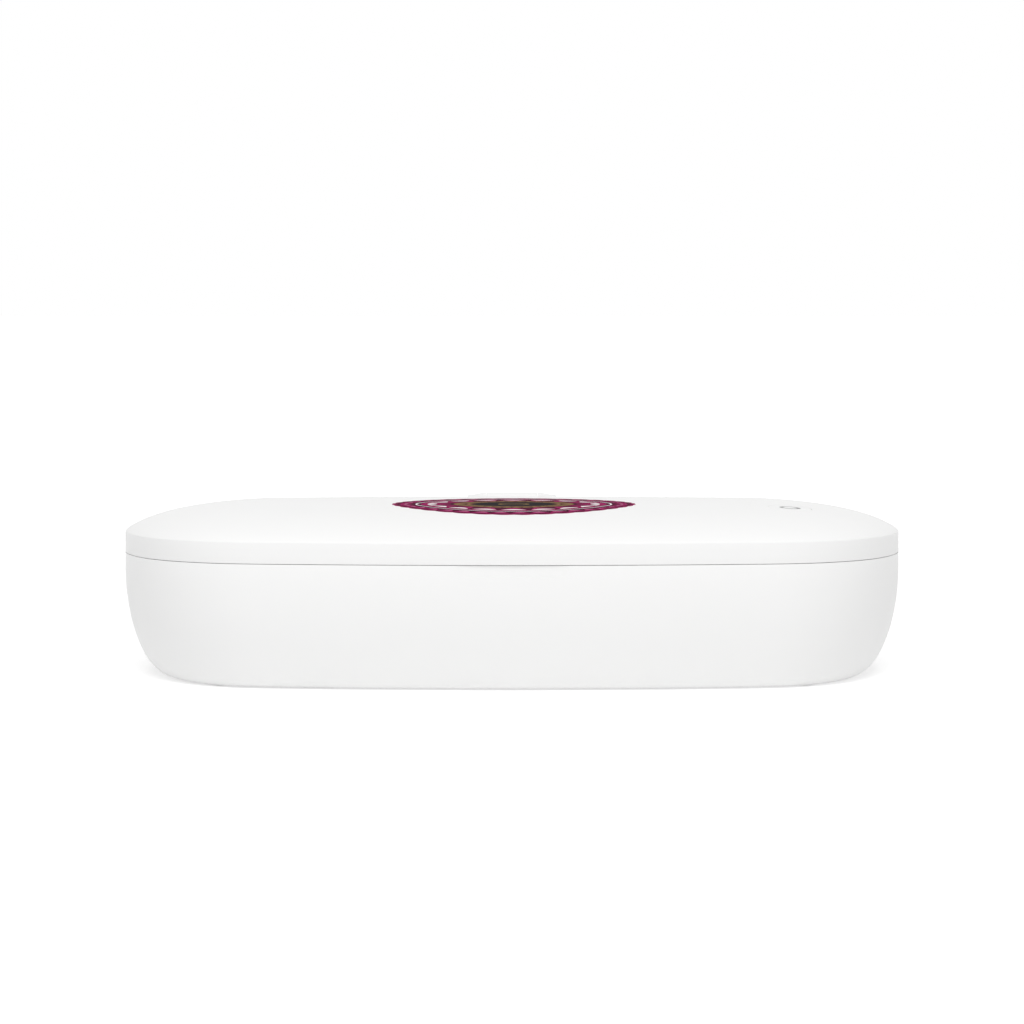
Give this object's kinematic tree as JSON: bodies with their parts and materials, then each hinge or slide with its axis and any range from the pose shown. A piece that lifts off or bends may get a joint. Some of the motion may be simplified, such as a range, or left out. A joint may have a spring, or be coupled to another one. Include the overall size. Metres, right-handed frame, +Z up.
{
  "type": "uv sanitizer box for phones",
  "caption": "Shallow white box with a hinged pillow-shaped lid, a push button on the lid and ultraviolet lamps above and below a phone laid on clear rods.",
  "frame": {"origin": "middle of the case outline, on the surface that the feet stand on", "axes": "+X to the right along the case, +Y to the hinge at the back, +Z up through the lid"},
  "size_m": [0.218, 0.121, 0.0479],
  "materials": {
    "case": "satin white moulding",
    "reflector": "vacuum-metallised moulding",
    "quartz": "polished quartz",
    "circuit_board": "solder mask",
    "lamp": "ceramic package",
    "steel": "zinc plated",
    "aluminium": "drawn can",
    "magnet": "nickel plated",
    "black_plastic": "moulded",
    "plug": "moulded nylon",
    "soft_pad": "soft silicone",
    "rubber": "matt",
    "lead": "extruded insulation",
    "light_lens": "clear epoxy",
    "grey_mark": "inlaid moulding"
  },
  "bodies": {
    "base": {"base_shell": "case", "inner_tray": "reflector", "tray_windows": "quartz", "rack_rods": "quartz", "base_lamp_board": "circuit_board", "base_lamps": "lamp", "base_lamp_screws": "steel", "main_board": "circuit_board", "board_chips": "black_plastic", "boost_coil": "black_plastic", "board_capacitor": "aluminium", "board_screws": "steel", "board_plugs": "plug", "usb_socket": "steel", "usb_tongue": "black_plastic", "lid_sensor": "black_plastic", "base_magnets": "magnet", "lid_bumpers": "soft_pad", "case_screws": "steel", "rubber_feet": "rubber", "lamp_lead": "lead", "sensor_lead": "lead", "hinge_lead": "lead"},
    "lid": {"lid_shell": "case", "lid_liner": "reflector", "lid_windows": "quartz", "lid_lamp_board": "circuit_board", "lid_lamps": "lamp", "lid_lamp_screws": "steel", "lid_plugs": "plug", "button_board": "circuit_board", "tact_switch": "black_plastic", "status_light": "light_lens", "button_screws": "steel", "liner_screws": "steel", "lid_magnets": "magnet", "sensor_magnet": "magnet", "hinge_pin": "steel", "hinge_sleeve": "steel", "lid_lead": "lead", "button_lead": "lead"},
    "button": {"power_button": "case", "button_ring": "grey_mark", "switch_plunger": "black_plastic"}
  },
  "joints": [
    {"name": "lid_hinge", "type": "hinge", "parent": "base", "child": "lid", "pos_m": [0, 0.0582, 0.0438], "axis": [-1, 0, 0], "range_deg": [0, 100]},
    {"name": "button_press", "type": "slide", "parent": "lid", "child": "button", "axis": [0, 0, -1], "range_m": [0, 0.0005], "stiffness_N_per_m": 3200}
  ]
}
